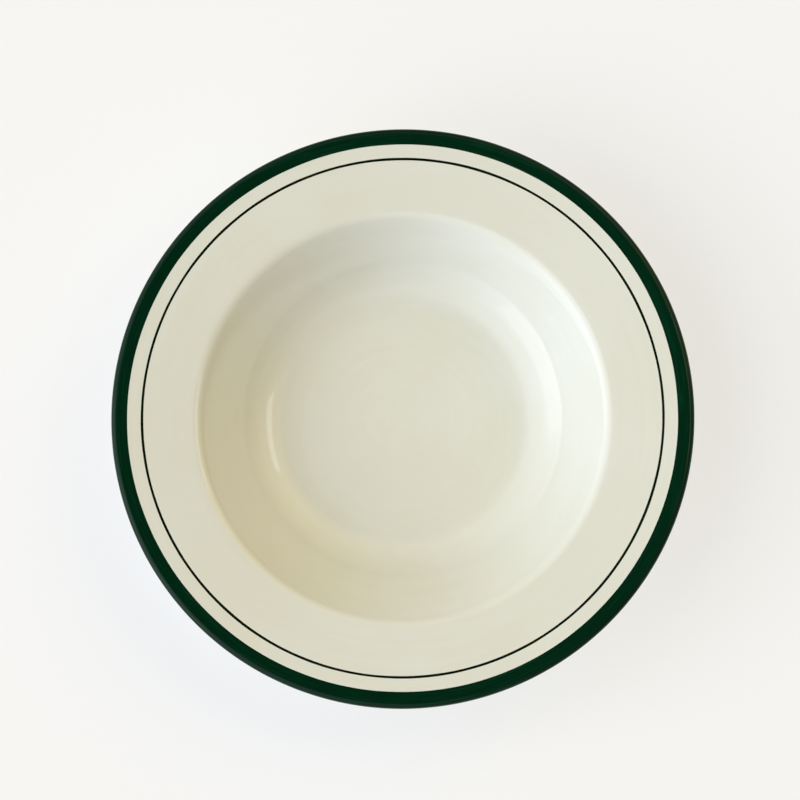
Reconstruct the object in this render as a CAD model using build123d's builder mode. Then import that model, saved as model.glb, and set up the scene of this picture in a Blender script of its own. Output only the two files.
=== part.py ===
from build123d import *

import os
from math import atan2, cos, radians, sin, tan

# Rimmed soup plate in cream-glazed hotel china, with a green band on the lip and a green hairline.
# It is turned about +Z and stands on its foot ring at z = 0. One clay body carries a skin of glaze,
# which is cream on the face, on the back and in the foot's recess. The foot ring is left dry.
# The band is the stretch of glaze round the lip, which its colour has sunk right through. The
# hairline is a fine colour in a shallow channel of the face's glaze, flush with it.
# Every section is drawn as radius against height, then revolved. Lengths are in millimetres.

# Overall size
outer_diameter = 229.0
overall_height = 37.5

# Rim and lip. The lip is a thicker bead that tapers into the rim's underside. Its rounding above and
# its rounding below are each turned in a few tangent cuts, whose corners are then softened.
rim_rise = radians(6.0)
rim_thickness = 4.2
lip_thickness = 5.3
lip_flat = 0.3
lip_cuts = 3
lip_softness = 0.8
lip_taper = 7.0
lip_taper_radius = 10.0

# Well. Its two diameters are taken at the sharp corners, before they are rounded.
well_diameter = 160.8
floor_diameter = 112.5
verge_radius = 6.5
verge_back_radius = 9.0
cove_radius = 30.0
floor_thickness = 5.0
wall_thickness = 4.8

# Foot ring, which stands just outside the corner of the floor
foot_step = 0.25
foot_width = 4.2
foot_outer_draft = 0.5
foot_inner_draft = 0.8
foot_edge_radius = 0.9
foot_root_height = 4.0
foot_root_radius = 3.0
recess_height = 2.8
recess_radius = 1.6
shoulder_height = 7.0
shoulder_radius = 14.0
dry_height = 1.4

# Glaze and the two colours in it
glaze_thickness = 0.4
band_width = 6.5
band_back_width = 3.2
hairline_gap = 5.2
hairline_width = 1.0
hairline_depth = 0.2


def crossing(point_a, angle_a, point_b, angle_b):
    """Return where the line through point_a at angle_a meets the line through point_b at angle_b."""
    along_x = point_b[0] - point_a[0]
    along_y = point_b[1] - point_a[1]
    turn = sin(angle_b - angle_a)
    reach = (along_x * sin(angle_b) - along_y * cos(angle_b)) / turn
    return (point_a[0] + reach * cos(angle_a), point_a[1] + reach * sin(angle_a))


# Lip: one radius above and below, as large as its thickness allows with a short flat between
right_angle = radians(90)
lip_drop = lip_thickness - rim_thickness / cos(rim_rise) - lip_taper * tan(rim_rise)
taper_fall = atan2(lip_drop, lip_taper)
upper_turn = right_angle + rim_rise
lower_turn = right_angle + taper_fall
lip_radius = (lip_thickness - lip_flat) / (tan(upper_turn / 2) + tan(lower_turn / 2))
soft_radius = lip_softness * lip_radius

# Heights of the lip. The topmost point of the plate is on the first of the upper softened corners.
lip_r = outer_diameter / 2
bead_r = lip_r - lip_radius
half_cut = upper_turn / (2 * lip_cuts)
crown = soft_radius + (lip_radius - soft_radius) / cos(half_cut) * sin(upper_turn - half_cut)
upper_bead_height = overall_height - crown
lower_bead_height = upper_bead_height - lip_flat


def rim_height(radius):
    """Return the height of the rim's face at a radius between the verge and the lip."""
    return upper_bead_height + lip_radius / cos(rim_rise) + (radius - bead_r) * tan(rim_rise)


def bead_corners(bead_height, start, turn):
    """Return the corners of the cuts round the lip, clockwise from start, each with its radius."""
    cut = turn / lip_cuts
    reach = lip_radius / cos(cut / 2)
    angles = [start - cut * (count + 0.5) for count in range(lip_cuts)]
    return [
        ((bead_r + reach * cos(angle), bead_height + reach * sin(angle)), soft_radius)
        for angle in angles
    ]


# Corners of the glazed outline, before rounding
verge_r = well_diameter / 2
verge_corner = (verge_r, rim_height(verge_r))
floor_height = recess_height + floor_thickness
floor_corner = (floor_diameter / 2, floor_height)
wall_angle = atan2(verge_corner[1] - floor_height, verge_r - floor_corner[0])
wall_back = (
    floor_corner[0] + wall_thickness * sin(wall_angle),
    floor_height - wall_thickness * cos(wall_angle),
)
taper_r = lip_r - lip_taper
rim_back = (taper_r, rim_height(taper_r) - rim_thickness / cos(rim_rise))
verge_back = crossing(rim_back, rim_rise, wall_back, wall_angle)
shoulder = crossing(wall_back, wall_angle, (0, shoulder_height), 0)
foot_r = floor_corner[0] + foot_step
foot_inner_r = foot_r - foot_width

corners = [
    ((0, floor_height), None),
    (floor_corner, cove_radius),
    (verge_corner, verge_radius),
    *bead_corners(upper_bead_height, upper_turn, upper_turn),
    *bead_corners(lower_bead_height, 0, lower_turn),
    (rim_back, lip_taper_radius),
    (verge_back, verge_back_radius),
    (shoulder, shoulder_radius),
    ((foot_r + foot_outer_draft, foot_root_height), foot_root_radius),
    ((foot_r, 0), foot_edge_radius),
    ((foot_inner_r, 0), foot_edge_radius),
    ((foot_inner_r - foot_inner_draft, recess_height), recess_radius),
    ((0, recess_height), None),
]

# The fired outline, glaze included. It is mirrored so that insets of it have no edge on the axis.
with BuildSketch(Plane.XZ) as fired_section:
    with BuildLine():
        FilletPolyline(
            [point for point, _ in corners],
            radius=[radius for _, radius in corners[1:-1]],
        )
        Line(corners[-1][0], corners[0][0])
    make_face()
    mirror(about=Plane.YZ)

# The right-hand half plane, larger than the plate, that trims a mirrored section before it is revolved
with BuildSketch(Plane.XZ) as half_plane:
    Rectangle(outer_diameter, 4 * overall_height, align=(Align.MIN, Align.CENTER))

# Clay: the outline less the glaze, and the full outline at the foot's dry edge
with BuildSketch(Plane.XZ) as dry_section:
    add(fired_section.sketch_local)
    with Locations((0, dry_height)):
        Rectangle(
            2 * outer_diameter,
            overall_height,
            align=(Align.CENTER, Align.MAX),
            mode=Mode.INTERSECT,
        )

with BuildSketch(Plane.XZ) as clay_section:
    add(fired_section.sketch_local)
    offset(amount=-glaze_thickness)
    add(dry_section.sketch_local)
    add(half_plane.sketch_local, mode=Mode.INTERSECT)

# Glaze: the outline less the clay, in a skin that the dry foot parts
with BuildSketch(Plane.XZ) as glaze_section:
    add(fired_section.sketch_local)
    add(half_plane.sketch_local, mode=Mode.INTERSECT)
    add(clay_section.sketch_local, mode=Mode.SUBTRACT)

# Band: the stretch of glaze over the face's edge, round the lip and a little way under it
lip_middle = (upper_bead_height + lower_bead_height) / 2
with BuildSketch(Plane.XZ) as band_section:
    with Locations((lip_r - band_width, lip_middle)):
        Rectangle(2 * band_width, overall_height, align=Align.MIN)
    with Locations((lip_r - band_back_width, lip_middle)):
        Rectangle(2 * band_back_width, overall_height, align=(Align.MIN, Align.MAX))
    add(glaze_section.sketch_local, mode=Mode.INTERSECT)

# Hairline: a finer colour inside the band, on the face only, that goes part of the way into the glaze
hairline_outer_r = lip_r - band_width - hairline_gap
hairline_inner_r = hairline_outer_r - hairline_width
with BuildSketch(Plane.XZ) as hairline_section:
    add(fired_section.sketch_local)
    offset(amount=-hairline_depth, mode=Mode.SUBTRACT)
    with Locations((hairline_inner_r, rim_height(hairline_inner_r) - rim_thickness / 2)):
        Rectangle(hairline_width, overall_height, align=Align.MIN, mode=Mode.INTERSECT)

# Cream glaze: all that is left. Its three strips, from the axis outwards, are recess, face and back.
with BuildSketch(Plane.XZ) as cream_section:
    add(glaze_section.sketch_local)
    add(band_section.sketch_local, mode=Mode.SUBTRACT)
    add(hairline_section.sketch_local, mode=Mode.SUBTRACT)
recess_strip, face_strip, back_strip = cream_section.sketch.faces().sort_by(Axis.X)

# The six pieces, each its section revolved
with BuildPart() as china_body:
    add(clay_section.sketch)
    revolve(axis=Axis.Z)
china_body.part.label = "china_body"

with BuildPart() as face_glaze:
    add(face_strip)
    revolve(axis=Axis.Z)
face_glaze.part.label = "face_glaze"

with BuildPart() as back_glaze:
    add(back_strip)
    revolve(axis=Axis.Z)
back_glaze.part.label = "back_glaze"

with BuildPart() as recess_glaze:
    add(recess_strip)
    revolve(axis=Axis.Z)
recess_glaze.part.label = "recess_glaze"

with BuildPart() as rim_band:
    add(band_section.sketch)
    revolve(axis=Axis.Z)
rim_band.part.label = "rim_band"

with BuildPart() as hairline:
    add(hairline_section.sketch)
    revolve(axis=Axis.Z)
hairline.part.label = "hairline"

os.makedirs("parts", exist_ok=True)
for piece in (china_body, face_glaze, back_glaze, recess_glaze, rim_band, hairline):
    export_step(piece.part, f"parts/{piece.part.label}.step")
    print(piece.part.label, len(piece.part.solids()), "solid", round(piece.part.volume / 1000, 2), "cm3")
print("floor height", floor_height, "verge height", round(verge_corner[1], 2))
print("wall angle", round(wall_angle / radians(1), 1), "flat seat", foot_inner_r, "to", foot_r)
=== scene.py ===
import bpy
import bmesh
from math import atan2, cos, pi, radians, sin, tan
from mathutils import Matrix, Vector


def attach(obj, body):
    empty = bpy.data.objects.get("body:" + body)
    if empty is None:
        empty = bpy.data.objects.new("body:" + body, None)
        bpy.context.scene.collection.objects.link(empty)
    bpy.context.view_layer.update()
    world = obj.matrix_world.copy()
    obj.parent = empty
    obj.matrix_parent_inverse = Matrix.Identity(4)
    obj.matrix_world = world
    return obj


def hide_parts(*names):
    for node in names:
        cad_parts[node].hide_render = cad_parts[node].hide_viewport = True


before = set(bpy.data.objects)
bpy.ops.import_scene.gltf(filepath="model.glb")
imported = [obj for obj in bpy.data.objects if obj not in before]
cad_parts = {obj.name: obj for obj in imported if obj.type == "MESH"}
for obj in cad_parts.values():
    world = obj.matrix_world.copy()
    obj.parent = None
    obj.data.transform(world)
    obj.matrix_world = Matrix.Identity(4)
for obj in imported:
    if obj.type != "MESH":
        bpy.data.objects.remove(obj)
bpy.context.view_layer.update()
mm = 0.001
print("frame in: %d CAD nodes" % len(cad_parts))


# camera: almost straight down, leaning a little towards the front and the right
camera = {
    "lean": 6.9,            # degrees off straight down
    "leanToward": 16.0,     # degrees, from the front towards +X
    "distance": 1.5,
    "aim": (0, 0, 0.035),
    "lens": 172.0,
    "shift": (-0.0027, 0.0208),
}


def addCamera(c):  # it looks at the aim from the way it leans, with the top of the picture towards +Y
    data = bpy.data.cameras.new("camera")
    data.lens = c["lens"]
    data.shift_x, data.shift_y = c["shift"]
    cam = bpy.data.objects.new("camera", data)
    bpy.context.scene.collection.objects.link(cam)
    lean, toward = radians(c["lean"]), radians(c["leanToward"])
    back = Vector((sin(lean) * sin(toward), -sin(lean) * cos(toward), cos(lean)))
    right = Vector((0, 1, 0)).cross(back).normalized()
    cam.rotation_mode = "QUATERNION"
    cam.rotation_quaternion = Matrix((right, back.cross(right), back)).transposed().to_quaternion()
    cam.location = Vector(c["aim"]) + back * c["distance"]
    bpy.context.scene.camera = cam


addCamera(camera)
bpy.context.scene.view_settings.view_transform = "Standard"
print("camera in")


# shader work shared by the glazes and the clay
class nodeBench:  # a node tree, with short ways to add nodes and join them
    def __init__(self, tree):
        self.tree = tree

    def feed(self, node, values):  # each value is a number, a colour, or another node's output
        for key, value in values.items():
            if isinstance(value, bpy.types.NodeSocket):
                self.tree.links.new(value, node.inputs[key])
            else:
                node.inputs[key].default_value = value

    def add(self, kind, values, **settings):
        node = self.tree.nodes.new("ShaderNode" + kind)
        for key, value in settings.items():
            setattr(node, key, value)
        self.feed(node, values)
        return node

    def addGroup(self, group, values):
        node = self.add("Group", {})
        node.node_tree = group
        self.feed(node, values)
        return node.outputs

    def number(self, how, a, b, c=0.0):  # one step of arithmetic
        return self.add("Math", {0: a, 1: b, 2: c}, operation=how).outputs[0]

    def vector(self, how, a, b):
        return self.add("VectorMath", {0: a, 1: b}, operation=how).outputs[0]

    def scaled(self, a, by):
        return self.add("VectorMath", {0: a, "Scale": by}, operation="SCALE").outputs[0]

    def ramp(self, value, span, low=0.0, high=1.0):  # a smooth step, from low at span[0] to high at span[1]
        node = self.add("MapRange", {"Value": value, "From Min": span[0], "From Max": span[1],
                                     "To Min": low, "To Max": high}, interpolation_type="SMOOTHSTEP")
        return node.outputs["Result"]

    def noise(self, place, scale, **more):
        values = {"Vector": place, "Scale": scale}
        values.update({key.capitalize(): value for key, value in more.items()})
        return self.add("TexNoise", values).outputs[0]

    def tint(self, factor, a, b):  # colour a where the factor is 0, colour b where it is 1
        a, b = ((*colour, 1.0) if isinstance(colour, tuple) else colour for colour in (a, b))
        return self.add("Mix", {"Factor": factor, 6: a, 7: b}, data_type="RGBA").outputs[2]


def newGroup(name, inputs, outputs):
    group = bpy.data.node_groups.new(name, "ShaderNodeTree")
    group.interface.new_socket("Vector", in_out="INPUT", socket_type="NodeSocketVector")
    for socket, value in inputs.items():
        made = group.interface.new_socket(socket, in_out="INPUT", socket_type="NodeSocketFloat")
        made.default_value = value
    for socket in outputs:
        group.interface.new_socket(socket, in_out="OUTPUT", socket_type="NodeSocketFloat")
    given = group.nodes.new("NodeGroupInput").outputs
    return nodeBench(group), given, group.nodes.new("NodeGroupOutput")


turned = {
    "rise": 0.35,                       # how fast the marks change with height, against radius
    "roughness": 0.6,
}


def makeTurnedMarks(t):  # marks that run round the axis, as a turning tool or a brush leaves them
    bench, given, out = newGroup("turnedMarks", {"Across": 900.0, "Around": 2.0, "Detail": 3.0}, ("Mark",))
    parts = bench.add("SeparateXYZ", {0: given["Vector"]}).outputs
    flat = bench.add("CombineXYZ", {0: parts[0], 1: parts[1]}).outputs[0]
    radius = bench.add("VectorMath", {0: flat}, operation="LENGTH").outputs["Value"]
    unit = bench.add("VectorMath", {0: flat}, operation="NORMALIZE").outputs[0]
    outwards = bench.number("MULTIPLY_ADD", parts[2], t["rise"], radius)
    across = bench.add("CombineXYZ", {2: bench.number("MULTIPLY", outwards, given["Across"])}).outputs[0]
    place = bench.vector("ADD", bench.scaled(unit, given["Around"]), across)
    bench.feed(out, {"Mark": bench.noise(place, 1.0, detail=given["Detail"], roughness=t["roughness"])})
    return bench.tree


skin = {
    "wavesScale": 38.0,
    "peelScale": 700.0,
    "peelDetail": 1.5,
    "peelHeight": 0.06,
    "holeScale": 210.0,                 # cells per metre, some of which hold a pinhole
    "holeChance": (0.93, 0.94),
    "holeSize": (0.045, 0.02),          # shares of a cell, from the hole's edge to its bottom
    "holeDepth": 0.25,
    "fleckScale": 95.0,
    "fleckChance": (0.955, 0.96),
    "fleckSize": (0.030, 0.012),
    "cloudScale": 21.0,
    "cloudRoughness": 0.55,
    "smearScale": 55.0,
    "smearRoughness": 0.65,
    "smearDistortion": 1.2,
}


def makeGlazeSkin(s):  # what any fired glaze shows: waves, orange peel, pinholes, flecks, clouds, smears
    bench, given, out = newGroup("glazeSkin", {"Waves": 1.0, "Peel": 1.0, "Pinholes": 1.0},
                                 ("Height", "Cloud", "Fleck", "Smear"))
    place = given["Vector"]

    def spots(scale, channel, chance, size):  # round spots, in the few cells that chance picks
        cells = bench.add("TexVoronoi", {"Vector": place, "Scale": scale, "Randomness": 1.0}).outputs
        draw = bench.add("SeparateColor", {0: cells["Color"]}).outputs[channel]
        return bench.number("MULTIPLY", bench.ramp(cells["Distance"], size), bench.ramp(draw, chance))

    waves = bench.noise(place, s["wavesScale"], detail=1.0)
    peel = bench.noise(place, s["peelScale"], detail=s["peelDetail"])
    hole = spots(s["holeScale"], 0, s["holeChance"], s["holeSize"])
    fleck = spots(s["fleckScale"], 1, s["fleckChance"], s["fleckSize"])
    cloud = bench.noise(place, s["cloudScale"], detail=3.0, roughness=s["cloudRoughness"])
    smear = bench.noise(place, s["smearScale"], detail=5.0, roughness=s["smearRoughness"],
                        distortion=s["smearDistortion"])
    height = bench.number("MULTIPLY", waves, given["Waves"])
    peel = bench.number("MULTIPLY", peel, s["peelHeight"])
    height = bench.number("MULTIPLY_ADD", peel, given["Peel"], height)
    depth = bench.number("MULTIPLY", bench.number("MULTIPLY", hole, s["holeDepth"]), given["Pinholes"])
    height = bench.number("SUBTRACT", height, depth)
    bench.feed(out, {"Height": height, "Cloud": cloud, "Fleck": fleck, "Smear": smear})
    return bench.tree


turnedMarks = makeTurnedMarks(turned)
glazeSkin = makeGlazeSkin(skin)


def newMaterial(name):
    material = bpy.data.materials.new(name)
    material.use_nodes = True
    material.node_tree.nodes.clear()
    bench = nodeBench(material.node_tree)
    shader = bench.add("BsdfPrincipled", {})
    bench.add("OutputMaterial", {0: shader.outputs[0]})
    return material, bench, shader, bench.add("TexCoord", {}).outputs["Object"]


def setSurface(bench, shader, colour, rough, height, bump):  # bump is a strength and a height in metres
    strength, distance = bump
    normal = bench.add("Bump", {"Strength": strength, "Distance": distance, "Height": height}).outputs[0]
    bench.feed(shader, {"Base Color": colour, "Roughness": rough, "Normal": normal})


cream = {
    "colour": (0.805, 0.835, 0.772),
    "deep": (0.775, 0.790, 0.692),      # where the glaze lies thicker
    "fleck": (0.42, 0.33, 0.21),
    "fleckTint": 0.55,
    "across": 330.0,                    # turning marks, per metre outwards
    "around": 1.5,
    "detail": 2.5,
    "streakSpan": (0.35, 0.65),
    "streakTint": 0.25,
    "streakHeight": 0.05,
    "poolSpan": (0.35, 0.7),
    "poolMost": 0.45,
    "smearSpan": (0.4, 0.72),
    "roughness": (0.030, 0.070),
    "bump": (0.5, 0.00012),
    "ior": 1.5,
}


def creamGlaze(name, c, rings, waves):
    material, bench, shader, place = newMaterial(name)
    glaze = bench.addGroup(glazeSkin, {"Vector": place, "Waves": waves, "Peel": 1.0, "Pinholes": 1.0})
    marks = bench.addGroup(turnedMarks, {"Vector": place, "Across": c["across"], "Around": c["around"],
                                         "Detail": c["detail"]})
    streak = bench.ramp(marks["Mark"], c["streakSpan"])
    pooled = bench.ramp(glaze["Cloud"], c["poolSpan"], 0.0, c["poolMost"])
    thick = bench.number("MULTIPLY_ADD", streak, c["streakTint"] * rings, pooled)
    colour = bench.tint(thick, c["colour"], c["deep"])
    colour = bench.tint(bench.number("MULTIPLY", glaze["Fleck"], c["fleckTint"]), colour, c["fleck"])
    rough = bench.ramp(glaze["Smear"], c["smearSpan"], *c["roughness"])
    height = bench.number("MULTIPLY_ADD", streak, c["streakHeight"] * rings, glaze["Height"])
    setSurface(bench, shader, colour, rough, height, c["bump"])
    shader.inputs["IOR"].default_value = c["ior"]
    return material


green = {
    "colour": (0.0012, 0.0205, 0.0085),
    "thin": (0.0030, 0.0380, 0.0170),   # between the brush's hairs
    "line": (0.0030, 0.0085, 0.0030),
    "lineThin": (0.0160, 0.0260, 0.0120),
    "bandAcross": 1500.0,               # brush hairs, per metre outwards
    "lineAcross": 2600.0,
    "around": 5.0,
    "detail": 3.0,
    "hairSpan": (0.46, 0.74),
    "hairHeight": 0.08,
    "wornSpan": (0.3, 0.65),
    "wornLeast": 0.35,
    "peel": 1.3,
    "pinholes": 0.5,
    "smearSpan": (0.4, 0.72),
    "roughness": (0.06, 0.12),
    "bump": (0.5, 0.00012),
    "ior": 1.22,
}


def greenColour(name, c, full, thin, across):
    material, bench, shader, place = newMaterial(name)
    glaze = bench.addGroup(glazeSkin, {"Vector": place, "Waves": 1.0, "Peel": c["peel"],
                                       "Pinholes": c["pinholes"]})
    marks = bench.addGroup(turnedMarks, {"Vector": place, "Across": across, "Around": c["around"],
                                         "Detail": c["detail"]})
    hair = bench.ramp(marks["Mark"], c["hairSpan"])
    worn = bench.number("MULTIPLY", hair, bench.ramp(glaze["Cloud"], c["wornSpan"], c["wornLeast"], 1.0))
    colour = bench.tint(worn, full, thin)
    rough = bench.ramp(glaze["Smear"], c["smearSpan"], *c["roughness"])
    height = bench.number("MULTIPLY_ADD", hair, c["hairHeight"], glaze["Height"])
    setSurface(bench, shader, colour, rough, height, c["bump"])
    shader.inputs["IOR"].default_value = c["ior"]
    return material


clay = {
    "colour": (0.640, 0.585, 0.490),
    "grit": (0.480, 0.420, 0.330),
    "rubbed": (0.330, 0.310, 0.280),    # grey from the shelf on the seat
    "grainScale": 1400.0,
    "grainRoughness": 0.7,
    "gritScale": 900.0,
    "gritSpan": (0.45, 0.75),
    "gritHeight": 0.5,
    "across": 2600.0,                   # turning marks, per metre outwards
    "around": 3.0,
    "detail": 3.0,
    "markHeight": 0.6,
    "markShare": 0.6,                   # of the rubbing that follows the marks
    "rubHeight": 0.0005,
    "rubSpan": (0.42, 0.62),
    "rubMost": 0.6,
    "roughSpan": (0.3, 0.7),
    "roughness": (0.55, 0.85),
    "bump": (0.6, 0.00006),
}


def bareClay(name, c):
    material, bench, shader, place = newMaterial(name)
    grain = bench.noise(place, c["grainScale"], detail=4.0, roughness=c["grainRoughness"])
    grit = bench.add("TexVoronoi", {"Vector": place, "Scale": c["gritScale"]}).outputs["Distance"]
    marks = bench.addGroup(turnedMarks, {"Vector": place, "Across": c["across"], "Around": c["around"],
                                         "Detail": c["detail"]})
    glaze = bench.addGroup(glazeSkin, {"Vector": place, "Waves": 0.0, "Peel": 0.0, "Pinholes": 0.0})
    colour = bench.tint(bench.ramp(grain, c["gritSpan"]), c["colour"], c["grit"])
    # the seat is rubbed grey, in arcs and patches
    seat = bench.ramp(bench.add("SeparateXYZ", {0: place}).outputs[2], (c["rubHeight"], 0.0))
    patches = bench.number("MULTIPLY", glaze["Smear"], 1.0 - c["markShare"])
    patches = bench.number("MULTIPLY_ADD", marks["Mark"], c["markShare"], patches)
    rub = bench.number("MULTIPLY", seat, bench.ramp(patches, c["rubSpan"], 0.0, c["rubMost"]))
    colour = bench.tint(rub, colour, c["rubbed"])
    rough = bench.ramp(grain, c["roughSpan"], *c["roughness"])
    rise = bench.number("MULTIPLY_ADD", marks["Mark"], c["markHeight"], grain)
    rise = bench.number("MULTIPLY_ADD", grit, c["gritHeight"], rise)
    setSurface(bench, shader, colour, rough, rise, c["bump"])
    return material


print("glazes mixed")


# Section of the fired plate in mm: radius out, height up, and what each corner is rounded to.
# It runs from the middle of the well, over the lip and back under to the middle of the recess.
plate = {
    "corners": [
        (0, 7.8, 0),                # middle of the well
        (56.25, 7.8, 30),           # cove
        (80.4, 34.161, 6.5),        # verge
        (114.5, 37.745, 2.314),     # lip, above
        (114.5, 32.445, 2.314),     # lip, below
        (107.5, 32.786, 10),        # taper under the lip
        (83.322, 30.245, 9),        # back of the verge
        (62.027, 7.0, 14),          # shoulder
        (57.0, 4.0, 3),             # root of the foot
        (56.5, 0, 0.9),             # foot, outside
        (52.3, 0, 0.9),             # foot, inside
        (51.5, 2.8, 1.6),           # recess
        (0, 2.8, 0),                # middle of the recess
    ],
    "arcStep": radians(5),          # turn of each edge round a corner
    "runStep": 3.0,                 # longest edge on a straight run
    "around": 288,                  # steps of the full turn
    "glaze": 0.4,
    "dryBelow": 1.4,                # the foot is bare under this height
    "pinLine": (101.8, 102.8),
    "pinLineDepth": 0.2,
    "bandFace": 108.0,              # inner edge of the band on the face
    "bandBack": 111.3,              # and under the lip
    "lipMiddle": 35.02,
    "recessTop": 3.1,               # faces of the recess lie under this height
    "recessReach": 52.4,            # and within this radius
    "rimSlope": tan(radians(6)),    # of the face at the painted edges
    "backSlope": -0.0487,           # of the lip's underside at the band's edge
    "brushWander": 0.07,            # how far the painted edges stray
    # waves of a painted edge: how many to the turn, how high, and how far the edge's seed turns each
    "strayWaves": ((3, 1.0, 1.0), (7, 0.6, 2.3), (16, 0.4, 4.1), (37, 0.25, 1.7)),
    "strayMost": 1.6,               # about the most that the waves come to
    "dryRound": 0.14,               # rounding of the glaze's edge on the foot
    "dryRoundSteps": 3,
    "sharpEdge": radians(40),
}

weld = 1e-7                         # metres within which points become one
near = 1e-6                         # metres within which a point counts as on an edge


def drawSection(bm, p):
    points = [Vector((r * mm, 0, z * mm)) for r, z, _ in p["corners"]]
    tip = bm.verts.new(points[0])
    for i in range(1, len(points)):
        corner, radius = points[i], p["corners"][i][2] * mm
        tip = bmesh.ops.extrude_vert_indiv(bm, verts=[tip])["verts"][0]
        tip.co = corner
        if radius:
            come = (corner - points[i - 1]).normalized()
            leave = (points[i + 1] - corner).normalized()
            turn = atan2(come.z * leave.x - come.x * leave.z, come.dot(leave))
            tip.co = corner - come * abs(radius * tan(turn / 2))
            side = Vector((come.z, 0, -come.x)) * (1 if turn > 0 else -1)
            made = bmesh.ops.spin(bm, geom=[tip], cent=tip.co + side * radius, axis=(0, 1, 0),
                                  angle=turn, steps=max(2, round(abs(turn) / p["arcStep"])))
            tip = [g for g in made["geom_last"] if isinstance(g, bmesh.types.BMVert)][0]
    # rings where one piece meets the next
    for r in (*p["pinLine"], p["bandFace"], p["bandBack"]):
        bmesh.ops.bisect_plane(bm, geom=bm.verts[:] + bm.edges[:], dist=weld,
                               plane_co=(r * mm, 0, 0), plane_no=(1, 0, 0))
    bmesh.ops.bisect_plane(bm, geom=bm.verts[:] + bm.edges[:], dist=weld,
                           plane_co=(0, 0, p["dryBelow"] * mm), plane_no=(0, 0, 1))
    for e in bm.edges[:]:
        cuts = int(e.calc_length() / (p["runStep"] * mm))
        if cuts:
            bmesh.ops.subdivide_edges(bm, edges=[e], cuts=cuts)


def wander(angle, seed, p):  # the slow stray of a banding brush round the turn, in metres
    stray = sum(high * sin(count * angle + turn * seed) for count, high, turn in p["strayWaves"])
    return stray / p["strayMost"] * p["brushWander"] * mm


def turnPlate(p):
    bm = bmesh.new()
    drawSection(bm, p)
    bmesh.ops.spin(bm, geom=bm.verts[:] + bm.edges[:], cent=(0, 0, 0), axis=(0, 0, 1),
                   angle=2 * pi, steps=p["around"], use_merge=True)
    bmesh.ops.remove_doubles(bm, verts=bm.verts, dist=weld)
    bmesh.ops.recalc_face_normals(bm, faces=bm.faces)
    # the painted edges stray a little along the surface: radius, whether on the face, slope and seed
    painted = ((p["pinLine"][0], True, p["rimSlope"], 1.0), (p["pinLine"][1], True, p["rimSlope"], 1.6),
               (p["bandFace"], True, p["rimSlope"], 4.2), (p["bandBack"], False, p["backSlope"], 5.9))
    for v in bm.verts:
        r = v.co.xy.length
        for edge, face, slope, seed in painted:
            if abs(r - edge * mm) < near and (v.co.z > p["lipMiddle"] * mm) == face:
                by = wander(atan2(v.co.y, v.co.x), seed, p)
                v.co += Vector((v.co.x / r, v.co.y / r, slope)) * by
    return bm


def partOf(face, p):  # which piece a face of the fired surface belongs to
    c = face.calc_center_median()
    r, z = c.xy.length / mm, c.z / mm
    if z < p["dryBelow"]:
        return "foot"
    if z < p["recessTop"] and r < p["recessReach"]:
        return "recess"
    if r > (p["bandFace"] if z > p["lipMiddle"] else p["bandBack"]):
        return "band"
    if face.normal.z > 0:
        return "pinLine" if p["pinLine"][0] < r < p["pinLine"][1] else "face"
    return "back"


def keepParts(source, p, *parts):
    bm = source.copy()
    bmesh.ops.delete(bm, geom=[f for f in bm.faces if partOf(f, p) not in parts], context="FACES")
    return bm


def glazeShell(source, p, *parts):  # a skin of glaze under part of the fired surface
    bm = keepParts(source, p, *parts)
    bmesh.ops.solidify(bm, geom=bm.faces[:], thickness=p["glaze"] * mm)
    # its edge on the dry foot is drawn back and rounded by the firing
    ends = [e for e in bm.edges if all(abs(v.co.z - p["dryBelow"] * mm) < near for v in e.verts)
            and e.calc_face_angle(0) > p["sharpEdge"]]
    bmesh.ops.bevel(bm, geom=ends, offset=p["dryRound"] * mm, offset_type="OFFSET", affect="EDGES",
                    segments=p["dryRoundSteps"], profile=0.5, material=-1, clamp_overlap=True)
    return bm


def addPiece(bm, p, name, *replaced, slot, material):
    for f in bm.faces:
        f.smooth = True
    for e in bm.edges:
        e.smooth = e.calc_face_angle(0) < p["sharpEdge"]
    mesh = bpy.data.meshes.new(name)
    bm.to_mesh(mesh)
    bm.free()
    obj = bpy.data.objects.new(name, mesh)
    bpy.context.scene.collection.objects.link(obj)
    mesh.materials.append(material)
    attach(obj, "root")
    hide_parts(*replaced)


fired = turnPlate(plate)
print("plate turned: %d points" % len(fired.verts))

# clay body: the fired surface less the glaze, and the full surface on the dry foot
body = fired.copy()
glazed = [f for f in body.faces if partOf(f, plate) != "foot"]
bmesh.ops.inset_region(body, faces=glazed, thickness=0, depth=-plate["glaze"] * mm,
                       use_even_offset=True, use_boundary=True)
addPiece(body, plate, "clayBody", "china_body", slot="bisque", material=bareClay("bareClay", clay))

# cream glaze in three skins, the face's with a shallow channel for the pin line
front = glazeShell(fired, plate, "face", "pinLine")
channel = [f for f in front.faces if partOf(f, plate) == "pinLine"]
bmesh.ops.inset_region(front, faces=channel, thickness=0, depth=-plate["pinLineDepth"] * mm,
                       use_even_offset=True, use_boundary=True)
addPiece(front, plate, "faceGlaze", "face_glaze", slot="cream_glaze",
         material=creamGlaze("creamFace", cream, rings=1.0, waves=1.0))
addPiece(glazeShell(fired, plate, "back"), plate, "backGlaze", "back_glaze", slot="cream_glaze",
         material=creamGlaze("creamBack", cream, rings=1.6, waves=1.6))
addPiece(glazeShell(fired, plate, "recess"), plate, "recessGlaze", "recess_glaze", slot="cream_glaze",
         material=creamGlaze("creamRecess", cream, rings=2.2, waves=1.6))

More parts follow.
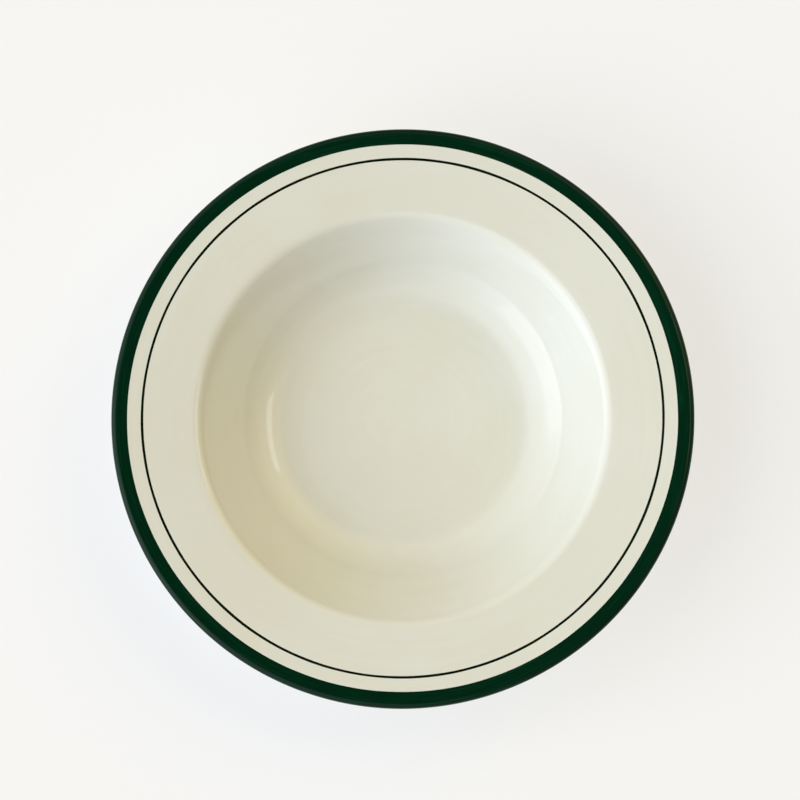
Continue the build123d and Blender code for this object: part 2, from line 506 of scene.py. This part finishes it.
# the two green colours
bandGreen = greenColour("bandGreen", green, green["colour"], green["thin"], green["bandAcross"])
addPiece(glazeShell(fired, plate, "band"), plate, "rimBand", "rim_band", slot="green_colour",
         material=bandGreen)
line = keepParts(fired, plate, "pinLine")
bmesh.ops.solidify(line, geom=line.faces[:], thickness=plate["pinLineDepth"] * mm)
lineGreen = greenColour("lineGreen", green, green["line"], green["lineThin"], green["lineAcross"])
addPiece(line, plate, "pinLine", "hairline", slot="green_colour", material=lineGreen)
fired.free()
print("six pieces in")


# studio: a pale floor, a soft sky that is dark overhead, and softboxes at the left and the right
studio = {
    "floorColour": (0.420, 0.432, 0.447),
    "floorMottle": 0.985,               # its darker patches against its plain colour
    "floorMottleScale": 3.0,
    "floorRoughness": 0.55,
    "floorRadius": 6.0,
    "floorSides": 96,
    "floorGap": 0.00004,                # a hair under the foot, so that the two are never one plane
    "floorGlow": 0.52,
    "even": (0.12, 0.075, 0.04),
    "backdrop": (0.90, 0.90, 0.88),     # what the camera sees past the floor
    "darkSpan": (0.87, 0.966),          # sines of the heights where the overhead dark begins and is full
    # toward is in degrees, clockwise from +Y as seen from above, and lift is in degrees above the floor
    "glows": {
        "leftGlow": {"toward": 254, "lift": 28, "tight": 1.5, "radiance": (1.88, 2.02, 2.20)},
        "farGlow": {"toward": 52, "lift": 46, "tight": 8.0, "radiance": (2.00, 1.64, 0.80)},
    },
    "panelAim": (0, 0, 0.02),
    "panelReach": 1.6,
    "panels": {
        "keyLow": {"toward": 254, "lift": 16.5, "size": (1.50, 0.42), "radiance": (0.90, 0.88, 0.95)},
        "keyHigh": {"toward": 254, "lift": 31, "size": (1.50, 0.40), "radiance": (1.10, 1.06, 1.15)},
        "fill": {"toward": 75.5, "lift": 52, "size": (0.60, 0.24), "radiance": (2.1, 2.15, 2.3)},
    },
}


def addFloor(s):
    bm = bmesh.new()
    bmesh.ops.create_circle(bm, cap_ends=True, radius=s["floorRadius"], segments=s["floorSides"])
    bmesh.ops.translate(bm, verts=bm.verts, vec=(0, 0, -s["floorGap"]))
    mesh = bpy.data.meshes.new("floor")
    bm.to_mesh(mesh)
    bm.free()
    floor = bpy.data.objects.new("floor", mesh)
    bpy.context.scene.collection.objects.link(floor)
    material, bench, shader, place = newMaterial("paleFloor")
    mottle = bench.noise(place, s["floorMottleScale"], detail=2.0)
    patch = tuple(level * s["floorMottle"] for level in s["floorColour"])
    bench.feed(shader, {"Base Color": bench.tint(mottle, s["floorColour"], patch),
                        "Roughness": s["floorRoughness"], "Emission Color": (1.0, 1.0, 1.0, 1.0),
                        "Emission Strength": s["floorGlow"]})
    mesh.materials.append(material)


def lookTo(p):  # the way to a light
    toward, lift = radians(p["toward"]), radians(p["lift"])
    return Vector((sin(toward) * cos(lift), cos(toward) * cos(lift), sin(lift)))


def addPanel(name, p, s):  # a softbox that looks at the well
    light = bpy.data.lights.new(name, "AREA")
    light.shape = "RECTANGLE"
    light.size, light.size_y = p["size"]
    peak = max(p["radiance"])
    light.color = [level / peak for level in p["radiance"]]
    light.energy = peak * pi * light.size * light.size_y
    obj = bpy.data.objects.new(name, light)
    bpy.context.scene.collection.objects.link(obj)
    obj.location = Vector(s["panelAim"]) + lookTo(p) * s["panelReach"]
    obj.rotation_mode = "QUATERNION"
    obj.rotation_quaternion = lookTo(p).to_track_quat("Z", "Y")
    obj.visible_camera = False


def addSky(s):  # even light, a broad glow on each side, and dark overhead
    world = bpy.data.worlds.new("sky")
    bpy.context.scene.world = world
    world.use_nodes = True
    world.node_tree.nodes.clear()
    bench = nodeBench(world.node_tree)
    way = bench.add("TexCoord", {}).outputs["Generated"]
    lit = s["even"]
    for glow in s["glows"].values():
        facing = bench.add("VectorMath", {0: way, 1: lookTo(glow)}, operation="DOT_PRODUCT")
        facing = bench.number("MAXIMUM", facing.outputs["Value"], 0.0)
        share = bench.number("POWER", facing, glow["tight"])
        lit = bench.vector("ADD", lit, bench.scaled(glow["radiance"], share))
    height = bench.add("SeparateXYZ", {0: way}).outputs[2]
    lit = bench.scaled(lit, bench.ramp(height, s["darkSpan"], 1.0, 0.0))
    seen = bench.add("LightPath", {}).outputs["Is Camera Ray"]
    back = bench.add("Background", {"Color": bench.tint(seen, lit, s["backdrop"]), "Strength": 1.0})
    bench.add("OutputWorld", {0: back.outputs[0]})


addFloor(studio)
addSky(studio)
for name, panel in studio["panels"].items():
    addPanel(name, panel, studio)
print("studio lit")
